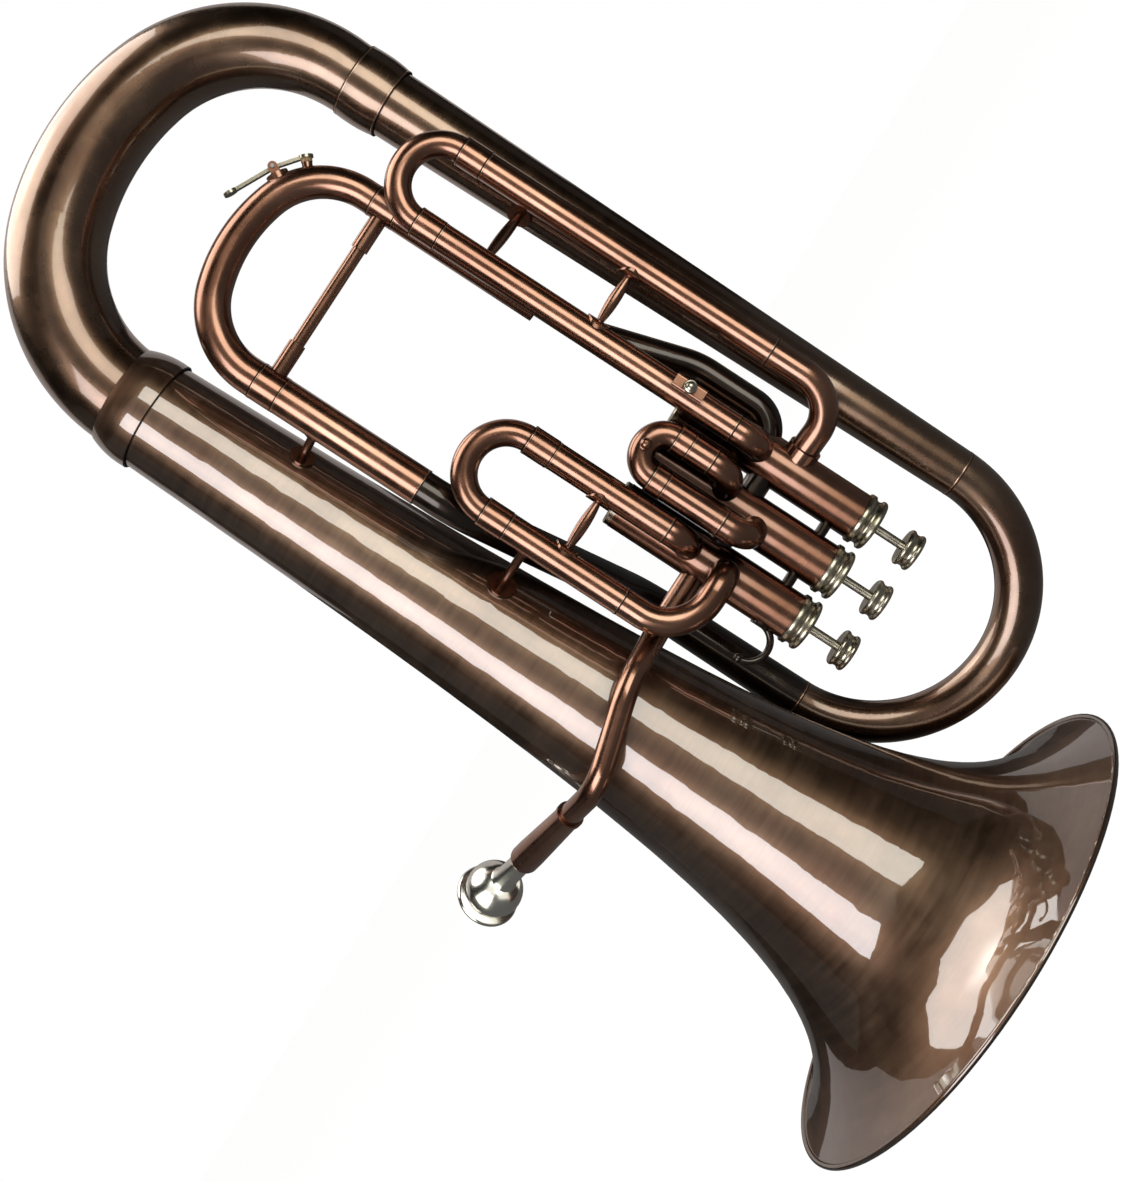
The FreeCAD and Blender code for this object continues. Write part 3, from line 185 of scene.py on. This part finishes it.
def floor_material():
    """White paper, which shows as bright as a lit studio floor and sends only a little light up."""
    seen_glow, cast_glow = 1.0, 0.06
    shader = Shader("floor_paper")
    fibres = shader.noise(scale=60)
    colour = shader.ramp(fibres, [(0.3, (0.05, 0.05, 0.05)), (0.7, (0.07, 0.07, 0.07))])
    glow = shader.ramp(fibres, [(0.3, (0.97, 0.97, 0.965)), (0.7, (1.0, 1.0, 0.995))])
    ray = shader.tree.nodes.new("ShaderNodeLightPath")
    strength = shader.span(ray.outputs["Is Camera Ray"], cast_glow, seen_glow, start=0, end=1)
    shader.link(colour, shader.surface.inputs["Base Color"])
    shader.link(glow, shader.surface.inputs["Emission Color"])
    shader.link(strength, shader.surface.inputs["Emission Strength"])
    shader.surface.inputs["Specular IOR Level"].default_value = 0
    shader.surface.inputs["Roughness"].default_value = 0.9
    shader.bump(fibres, GRAIN_DEPTH, strength=0.2)
    return shader.material


# deep, middle and pale tones
COPPER = ((0.25, 0.11, 0.062), (0.36, 0.172, 0.105), (0.46, 0.24, 0.155))
BROWN = ((0.175, 0.086, 0.05), (0.225, 0.133, 0.083), (0.31, 0.198, 0.13))
# near-black tones for tubes that lie in shadow behind the valves: painted shade, as the real tubes
# are the same metal as the rest
PAINTED_SHADE_TONES = ((0.022, 0.015, 0.011), (0.038, 0.026, 0.019), (0.065, 0.043, 0.031))
NICKEL = ((0.42, 0.38, 0.28), (0.54, 0.49, 0.38), (0.66, 0.61, 0.5))
SILVER = ((0.74, 0.72, 0.66), (0.84, 0.82, 0.76), (0.92, 0.9, 0.85))
# pale copper of the seams' bright lines, a painted highlight
BRIGHT_COPPER = ((0.5, 0.28, 0.18), (0.6, 0.36, 0.24), (0.7, 0.45, 0.32))
# near-black of the dark lines beside the seams: painted shadow, with dirt at the joints
SEAM_DIRT_AND_SHADOW = ((0.02, 0.014, 0.01), (0.03, 0.02, 0.015), (0.045, 0.03, 0.02))
STEEL = ((0.3, 0.3, 0.31), (0.42, 0.42, 0.43), (0.55, 0.55, 0.56))

# how fine the brushing's streaks are along X, Y and Z
AROUND_BELL, ALONG_TUBE = (22, 22, 340), (60, 60, 160)
AROUND_BOW, AROUND_BEND = (60, 100, 60), (60, 90, 60)
FINE_GRAIN = (300, 300, 300)

bell_metal = brushed("bell_metal", *BROWN, roughness=0.36, grain=AROUND_BELL,
                     coat=1.0, coat_roughness=0.03, coat_ior=2.1,
                     wear=0.26, shade=0.3, relief=0.14)
bow_metal = brushed("bow_metal", *BROWN, roughness=0.26, grain=AROUND_BOW,
                    coat=0.8, coat_roughness=0.06, wear=0.2, shade=0.3, octaves=2.0)
branch_metal = brushed("branch_metal", *BROWN, roughness=0.25, grain=ALONG_TUBE,
                       coat=0.8, coat_roughness=0.06, shade=0.25, relief=0.1, octaves=2.0)
tube_metal = brushed("tube_metal", *COPPER, roughness=0.23, grain=ALONG_TUBE,
                     coat_roughness=0.08, shade=0.22, relief=0.08, octaves=1.0)
bent_metal = brushed("bent_metal", *COPPER, roughness=0.24, grain=AROUND_BEND,
                     coat_roughness=0.08, shade=0.22, relief=0.08, octaves=1.0)
# painted shade: a near-black copy of the metal for the tubes in shadow behind the valves
painted_shade_metal = brushed("painted_shade_metal", *PAINTED_SHADE_TONES, roughness=0.3, grain=AROUND_BEND,
                       relief=0.08, octaves=1.0)
nickel = brushed("nickel_silver", *NICKEL, roughness=0.26, grain=(200, 200, 400),
                 coat=0.3, shade=0.5)
# painted highlight: pale copper for the bright line of each seam
seam_highlight_copper = brushed("painted_seam_highlight", *BRIGHT_COPPER, roughness=0.25, grain=FINE_GRAIN)
# painted shadow with dirt: near-black for the dark line beside each seam
seam_dirt_and_shadow = brushed("seam_dirt_and_shadow", *SEAM_DIRT_AND_SHADOW, roughness=0.5, grain=FINE_GRAIN, coat=0.1)
silver = brushed("silver_plate", *SILVER, roughness=0.2, grain=(90, 90, 90),
                 coat=0.0, wear=0.05, relief=0.05, octaves=1.0)
steel = brushed("spring_steel", *STEEL, roughness=0.3, grain=(400, 400, 400), coat=0.0)
cork = cork_material()

MATERIALS = {
    bell_metal: ("bell", "bell_ferrule"),
    bow_metal: ("bottom_bow", "top_bow"),
    branch_metal: ("outer_branch", "branch_ferrule"),
    tube_metal: (
        "main_slide_upper_outer_tube", "main_slide_lower_outer_tube",
        "main_slide_inner_legs", "main_slide_ferrules",
        "first_slide_outer_tubes", "first_slide_ferrules",
        "second_slide_outer_tubes", "second_slide_ferrules",
        "third_slide_outer_tubes", "third_slide_ferrules",
        "valve_1_casing", "valve_2_casing", "valve_3_casing",
    ),
    bent_metal: (
        "main_slide_bow", "main_slide_brace", "water_key_saddle", "water_key_nipple",
        "first_slide_crook", "second_slide_crook", "second_slide_knob", "third_slide_crook",
        "first_valve_elbows", "second_valve_elbows", "third_valve_elbows",
        "leadpipe", "mouthpiece_receiver", "slide_braces", "branch_brace", "bell_posts",
        "lyre_socket",
    ),
    painted_shade_metal: (
        "inner_branch", "third_valve_outlet", "casing_crossovers", "casing_braces", "thumb_hook",
    ),
    nickel: (
        "water_key_lever", "piston_1", "piston_2", "piston_3", "stem_1", "stem_2", "stem_3",
        "finger_button_1", "finger_button_2", "finger_button_3",
        "top_caps", "bottom_caps", "lyre_screw",
    ),
    silver: ("mouthpiece",),
    steel: ("valve_1_spring", "valve_2_spring", "valve_3_spring", "water_key_pin"),
    cork: ("water_key_cork",),
}
for material, names in MATERIALS.items():
    for name in names:
        for slot in nodes[name].material_slots:
            slot.material = material


# ---------------------------------------------------------------- turned pieces

MILLIMETRE = 0.001
ON_AXIS = 1e-6  # a radius smaller than this is a point on the axis
SHARP = math.radians(38)  # edges that turn by more than this stay crisp


def arc(radius, height, size, start, end, steps=8):
    """A round stretch of an outline about (radius, height), from one angle to another.
    The angles are in degrees, where 0 points straight out and 90 points up the axis."""
    angles = [math.radians(start + (end - start) * step / steps) for step in range(steps + 1)]
    return [(radius + size * math.cos(angle), height + size * math.sin(angle)) for angle in angles]


class Lathe:
    """Turned shapes of one body and one material, gathered into one mesh."""

    def __init__(self):
        self.shape = bmesh.new()

    def turn(self, origin, outline, direction=(0, 0, 1), closed=False, steps=72, teeth=0.0,
             toothed=None):
        """Adds an outline of (radius, height), in millimetres, turned about a direction.
        The origin is in metres. At the outline's points of radius toothed, every second step
        stands back by the teeth's depth. A closed outline's last point joins its first."""
        aim = Vector(direction).to_track_quat("Z", "Y").to_matrix().to_4x4()
        place = Matrix.Translation(origin) @ aim
        rings = []
        for radius, height in outline:
            if radius < ON_AXIS:
                centre = self.shape.verts.new(place @ Vector((0, 0, height * MILLIMETRE)))
                rings.append([centre] * steps)
                continue
            ring = []
            for step in range(steps):
                angle = math.tau * step / steps
                reach = radius - (teeth if radius == toothed and step % 2 else 0)
                here = Vector((reach * math.cos(angle), reach * math.sin(angle), height))
                ring.append(self.shape.verts.new(place @ (here * MILLIMETRE)))
            rings.append(ring)
        pairs = list(zip(rings, rings[1:]))
        if closed:
            pairs.append((rings[-1], rings[0]))
        for low, high in pairs:
            for step in range(steps):
                after = (step + 1) % steps
                corners = []
                for corner in (low[step], low[after], high[after], high[step]):
                    if corner not in corners:
                        corners.append(corner)
                if len(corners) > 2:
                    self.shape.faces.new(corners)

    def wind(self, low, high, wire, turns, steps=48, sides=10):
        """Adds a coil of round wire that fills a box, in metres, with its axis along Z."""
        centre = (low + high) / 2
        radius = (high.x - low.x) / 2 - wire
        count = turns * steps
        rings = []
        for step in range(count + 1):
            angle = math.tau * step / steps
            outward = Vector((math.cos(angle), math.sin(angle), 0))
            height = low.z + wire + (high.z - low.z - 2 * wire) * step / count
            middle = Vector((centre.x, centre.y, height)) + outward * radius
            ring = []
            for side in range(sides):
                bend = math.tau * side / sides
                reach = outward * math.cos(bend) + Vector((0, 0, math.sin(bend)))
                ring.append(self.shape.verts.new(middle + reach * wire))
            rings.append(ring)
        for here, there in zip(rings, rings[1:]):
            for side in range(sides):
                after = (side + 1) % sides
                self.shape.faces.new((here[side], here[after], there[after], there[side]))
        self.shape.faces.new(rings[0])
        self.shape.faces.new(rings[-1])

    def piece(self, name, body, material, slot, *replaced):
        """Makes one object of everything turned so far, which rides on a body."""
        bmesh.ops.recalc_face_normals(self.shape, faces=self.shape.faces)
        mesh = bpy.data.meshes.new(name)
        self.shape.to_mesh(mesh)
        self.shape.free()
        mesh.shade_smooth()
        mesh.set_sharp_from_angle(angle=SHARP)
        mesh.materials.append(material)
        made = bpy.data.objects.new(name, mesh)
        scene.collection.objects.link(made)
        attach(made, body)
        if replaced:
            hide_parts(*replaced)
        return made


def middle_of(node):
    low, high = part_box(node)
    return (low + high) / 2


# top caps with two knurled rims round a hollow waist
CAP_RIM = 12.2
CAP = [(2.4, 0), *arc(10.5, 1.7, 1.7, -90, -10), (CAP_RIM, 1.7), (CAP_RIM, 2.5),
       *arc(12.6, 4.45, 1.85, 250, 110, steps=12), (CAP_RIM, 6.4), (CAP_RIM, 8.5),
       (11.8, 9), (10.1, 9), (10.1, 11.8), (2.4, 11.8)]
caps = Lathe()
for number in (1, 2, 3):
    axis = middle_of("stem_%d" % number)
    foot = (axis.x, axis.y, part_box("top_caps")[0].z)
    caps.turn(foot, CAP, closed=True, steps=144, teeth=0.16, toothed=CAP_RIM)
caps.piece("knurled_top_caps", "horn", nickel, "nickel_silver", "top_caps")

# finger buttons: a domed end, two beaded rims and a hollow waist
BUTTON = [*arc(0, 54.7, 54.7, -90, -82.65), *arc(7.45, 1.75, 1.4, -75, 50),
          *arc(10.4, 4.15, 2.49, 207, 153), *arc(7.35, 6.6, 1.5, -40, 60),
          (7.85, 8.1), (2.05, 8.1), (2.05, 4.1), (0, 4.1)]
for number in (1, 2, 3):
    node = "finger_button_%d" % number
    axis = middle_of(node)
    spool = Lathe()
    spool.turn((axis.x, axis.y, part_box(node)[0].z), BUTTON, steps=96)
    spool.piece("spool_button_%d" % number, "valve_%d" % number, nickel, "nickel_silver", node)

# valve springs: coils of steel wire, each filling its spring's box
SPRING_WIRE, SPRING_SLACK, SPRING_TURNS = 0.0006, 0.0001, 6
for number in (1, 2, 3):
    node = "valve_%d_spring" % number
    low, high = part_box(node)
    coil = Lathe()
    coil.wind(low, high, SPRING_WIRE, SPRING_TURNS)
    spring = coil.piece("coil_spring_%d" % number, "horn", steel, "spring_steel", node)
    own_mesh(spring)

# lyre screw with a fluted head, which points to the front
SCREW_HEAD = 3.1
SCREW = [(0, 0), (1.3, 0), (1.3, 3.4), (2.6, 3.45), (3.0, 3.7), (SCREW_HEAD, 4.0),
         (SCREW_HEAD, 5.9), (2.7, 6.3), *arc(0, 4.33, 2.97, 46, 90)]
screw = Lathe()
low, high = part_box("lyre_screw")
screw_foot = ((low.x + high.x) / 2, high.y, (low.z + high.z) / 2)
screw.turn(screw_foot, SCREW, (0, -1, 0), steps=40, teeth=0.28, toothed=SCREW_HEAD)
screw.piece("fluted_lyre_screw", "lyre_screw", nickel, "nickel_silver", "lyre_screw")

# mouthpiece: shank, ball-shaped bowl and rounded rim, then back down the cup and the bore
MOUTHPIECE = [(3.7, 0), (4.6, 0), (5.2, 23), (5.5, 42), *arc(0, 58, 14, -61.5, 27.5, steps=20),
              (12.9, 64.8), *arc(14, 67.05, 1.8, -75, 80), *arc(12.9, 67, 1.95, 90, 180),
              *arc(-0.6, 62.5, 11.5, 0, -70, steps=12), (2.8, 48)]
RECEIVER_FOOT = Vector((-0.0468, -0.03, 0.1829))
SHANK_RISE = 0.031  # from the receiver's foot to the shank's tip inside it
horn_mouthpiece = Lathe()
aim = Vector(joints["mouthpiece_pull"]["axis"])
horn_mouthpiece.turn(RECEIVER_FOOT + aim * SHANK_RISE, MOUTHPIECE, aim, closed=True, steps=128)
mouthpiece = horn_mouthpiece.piece("turned_mouthpiece", "mouthpiece", silver, "silver_plate",
                                   "mouthpiece")


# ---------------------------------------------------------------- seams

# a seam's two outlines: (rise above the tube, place along it), in millimetres
BRIGHT_EDGE = [(-0.3, -0.4), (0.04, -0.36), (0.14, -0.15), (0.14, 0.15), (0.04, 0.36), (-0.3, 0.4)]
DARK_EDGE = [(-0.3, -0.26), (0.05, -0.24), (0.05, 0.24), (-0.3, 0.26)]
DARK_STEP = 0.62


def seams(body, rings):
    """A bright line, a painted highlight, with a dark one beside it, painted shadow and dirt, where
    two tubes meet.
    Each ring is (x, y, z, radius, side), in millimetres. The dark line lies above the bright one
    where side is 1, and below it where side is -1."""
    bright, dark = Lathe(), Lathe()
    for x, y, z, radius, side in rings:
        place = (x * MILLIMETRE, y * MILLIMETRE, z * MILLIMETRE)
        middle = DARK_STEP * side
        bright.turn(place, [(radius + rise, height) for rise, height in BRIGHT_EDGE])
        dark.turn(place, [(radius + rise, middle + height) for rise, height in DARK_EDGE])
    # the bright line is a painted highlight
    bright.piece(body + "_seam_edges", body, seam_highlight_copper, "antique_brass")
    # the dark line is painted shadow with dirt
    dark.piece(body + "_seam_shadows", body, seam_dirt_and_shadow, "antique_brass")


def both(xs, y, z, radius, side):
    """The same ring on a slide's two legs."""
    return [(x, y, z, radius, side) for x in xs]


MAIN_Y, SLIDE_Y = -34.5, -50
FIRST_LEGS, SECOND_LEGS, THIRD_LEGS = (82.8, 45.6), (118.4, 98.2), (172.7, 135.9)
TUBE, CROOK = 6.6, 6.9  # radius of the valve slides' outer tubes and of their crooks' ferrules
seams("horn", [
    # bell and branch ferrules
    (0, 0, 441.9, 27.3, -1), (181.4, 0, 430.4, 17.1, -1), (181.4, 0, 449.6, 17.9, 1),
    # both ends of the top bow
    (181.4, 0, 116, 11.6, -1), (53.5, 32, 116, 9.9, -1),
    # main slide's outer tubes
    (39.5, MAIN_Y, 319.3, 8.65, -1), (39.5, MAIN_Y, 393.5, 8.65, 1),
    (135.3, MAIN_Y, 393.5, 7.15, 1),
    # valve slides' outer tubes
    *both(FIRST_LEGS, SLIDE_Y, 276.5, TUBE, 1), *both(FIRST_LEGS, SLIDE_Y, 217.4, TUBE, -1),
    *both(SECOND_LEGS, SLIDE_Y, 228.5, TUBE, 1),
    (118.4, SLIDE_Y, 217.4, TUBE, -1), (98.2, SLIDE_Y, 199.4, TUBE, -1),
    *both(THIRD_LEGS, SLIDE_Y, 370.5, TUBE, 1),
    (172.7, SLIDE_Y, 222.4, TUBE, -1), (135.9, SLIDE_Y, 217.4, TUBE, -1),
])
seams("main_slide", [(39.5, MAIN_Y, 405.7, 8.8, 1), (135.3, MAIN_Y, 405.7, 7.3, 1)])
seams("first_slide", both(FIRST_LEGS, SLIDE_Y, 289.1, CROOK, 1))
seams("second_slide", both(SECOND_LEGS, SLIDE_Y, 235.6, CROOK, 1))
seams("third_slide", both(THIRD_LEGS, SLIDE_Y, 382.6, CROOK, 1))


# ---------------------------------------------------------------- floor and world

FLOOR_WIDTH = 12
DIM_ROOM = (0.01, 0.009, 0.008, 1)

scene.view_settings.view_transform = "Standard"

bpy.ops.mesh.primitive_plane_add(size=FLOOR_WIDTH, location=(0, 0, 0))
floor = bpy.context.object
floor.name = "floor"
floor.data.materials.append(floor_material())

# the room shows white behind the horn, and lights it hardly at all
world = bpy.data.worlds.new("studio")
scene.world = world
world.use_nodes = True
tree = world.node_tree
room = tree.nodes["Background"]
room.inputs["Color"].default_value = DIM_ROOM
room.inputs["Strength"].default_value = 1.0
paper = tree.nodes.new("ShaderNodeBackground")
paper.inputs["Color"].default_value = (*WHITE, 1)
seen = tree.nodes.new("ShaderNodeLightPath")
choice = tree.nodes.new("ShaderNodeMixShader")
tree.links.new(seen.outputs["Is Camera Ray"], choice.inputs["Fac"])
tree.links.new(room.outputs["Background"], choice.inputs[1])
tree.links.new(paper.outputs["Background"], choice.inputs[2])
tree.links.new(choice.outputs["Shader"], tree.nodes["World Output"].inputs["Surface"])


# ---------------------------------------------------------------- lights

MIDDLE = Vector((0.035, 0, 0.27))


def softbox(name, direction, distance, width, height, radiance, colour=WHITE, target=MIDDLE):
    """An area light of a given brightness, which faces the middle of the horn or another target."""
    data = bpy.data.lights.new(name, "AREA")
    data.shape = "RECTANGLE"
    data.size = width
    data.size_y = height
    data.energy = radiance * math.pi * width * height
    data.color = colour
    box = bpy.data.objects.new(name, data)
    scene.collection.objects.link(box)
    away = Vector(direction).normalized()
    box.location = target + away * distance
    box.rotation_euler = away.to_track_quat("Z", "Y").to_euler()
    box.visible_camera = False
    return box


def beside(degrees):
    """A level direction in front of the horn, turned toward +X by an angle."""
    return math.sin(math.radians(degrees)), -math.cos(math.radians(degrees)), 0


def octagon_light():
    """An eight-sided box of light above the horn, brightest in its middle."""
    sides, half_width, half_depth, place_above = 8, 0.86, 0.95, (0.0, 0.16, 1.75)
    hot_spot, middle_glow, outer_glow = 0.35, 6.5, 3.4
    shape = bmesh.new()
    rim = []
    for side in range(sides):
        angle = math.tau * (side + 0.5) / sides
        corner = (half_width * math.cos(angle), half_depth * math.sin(angle), 0)
        rim.append(shape.verts.new(corner))
    shape.faces.new(reversed(rim))
    mesh = bpy.data.meshes.new("octagon_light")
    shape.to_mesh(mesh)
    shape.free()
    material = bpy.data.materials.new("octagon_glow")
    material.use_nodes = True
    glow = material.node_tree
    glow.nodes.clear()
    place = glow.nodes.new("ShaderNodeTexCoord")
    distance = glow.nodes.new("ShaderNodeVectorMath")
    distance.operation = "LENGTH"
    strength = glow.nodes.new("ShaderNodeMapRange")
    strength.interpolation_type = "SMOOTHSTEP"
    strength.inputs["From Max"].default_value = hot_spot
    strength.inputs["To Min"].default_value = middle_glow
    strength.inputs["To Max"].default_value = outer_glow
    emission = glow.nodes.new("ShaderNodeEmission")
    emission.inputs["Color"].default_value = (1, 0.98, 0.94, 1)
    output = glow.nodes.new("ShaderNodeOutputMaterial")
    glow.links.new(place.outputs["Object"], distance.inputs[0])
    glow.links.new(distance.outputs["Value"], strength.inputs["Value"])
    glow.links.new(strength.outputs["Result"], emission.inputs["Strength"])
    glow.links.new(emission.outputs["Emission"], output.inputs["Surface"])
    mesh.materials.append(material)
    light = bpy.data.objects.new("octagon_light", mesh)
    scene.collection.objects.link(light)
    light.location = place_above
    light.visible_camera = False
    light.visible_shadow = False


octagon_light()

# cards that light the silver mouthpiece alone:
# name, direction, distance, width and height in metres, radiance
CARDS = (
    ("silver_card_left", (-0.85, -0.5, 0.1), 0.9, 0.8, 1.1, 2.4),
    ("silver_card_low", (0.55, -0.62, -0.45), 0.34, 0.7, 0.34, 1.5),
    ("silver_card_front", (0.35, -1, 0.1), 0.9, 1.2, 1.0, 0.9),
    ("silver_card_under", (0.2, -0.1, -0.9), 0.19, 0.7, 0.5, 1.0),
)
CARD_COLOUR = (1, 0.99, 0.9)
silver_only = bpy.data.collections.new("silver_only")
silver_only.objects.link(mouthpiece)
for card in CARDS:
    box = softbox(*card, CARD_COLOUR, middle_of("mouthpiece"))
    box.light_linking.receiver_collection = silver_only

# the studio's lights: name, direction, distance, width and height in metres, radiance, colour
SOFTBOXES = (
    ("key_left", beside(-38.5), 1.6, 0.86, 1.7, 4.5, (0.95, 0.96, 1)),
    ("key_right", beside(26.5), 1.6, 0.8, 1.7, 3.4, (0.98, 1, 0.92)),
    ("front_sheet", beside(-12), 2.6, 3.0, 3.2, 0.21, (1, 0.9, 0.82)),
    ("fill_left", beside(-100), 2.2, 1.4, 2.2, 0.06, WHITE),
    ("fill_right", beside(100), 2.2, 1.2, 2.2, 0.04, WHITE),
    ("back_sheet", (0, 0.85, 0.53), 2.2, 4.6, 2.0, 0.45, (1, 0.93, 0.9)),
)
for light in SOFTBOXES:
    softbox(*light)


# ---------------------------------------------------------------- camera

# the photograph shows the horn lying over, so the camera is rolled about its line of sight:
# ACROSS and UPWARD are where the picture's right and top point
CAMERA_PLACE = (0.0349, -0.86, 0.2645)
ACROSS, UPWARD = Vector((0.5461, 0, -0.8377)), Vector((0.8377, 0, 0.5461))
LENS, SENSOR = 56.4, 36
SHIFT_X, SHIFT_Y = 0.0363, -0.0237

camera = bpy.data.objects.new("camera", bpy.data.cameras.new("camera"))
scene.collection.objects.link(camera)
facing = Matrix((ACROSS, UPWARD, ACROSS.cross(UPWARD))).transposed().to_4x4()
camera.matrix_world = Matrix.Translation(CAMERA_PLACE) @ facing
camera.data.lens = LENS
camera.data.sensor_width = SENSOR
camera.data.sensor_fit = "AUTO"
camera.data.shift_x = SHIFT_X
camera.data.shift_y = SHIFT_Y
scene.camera = camera
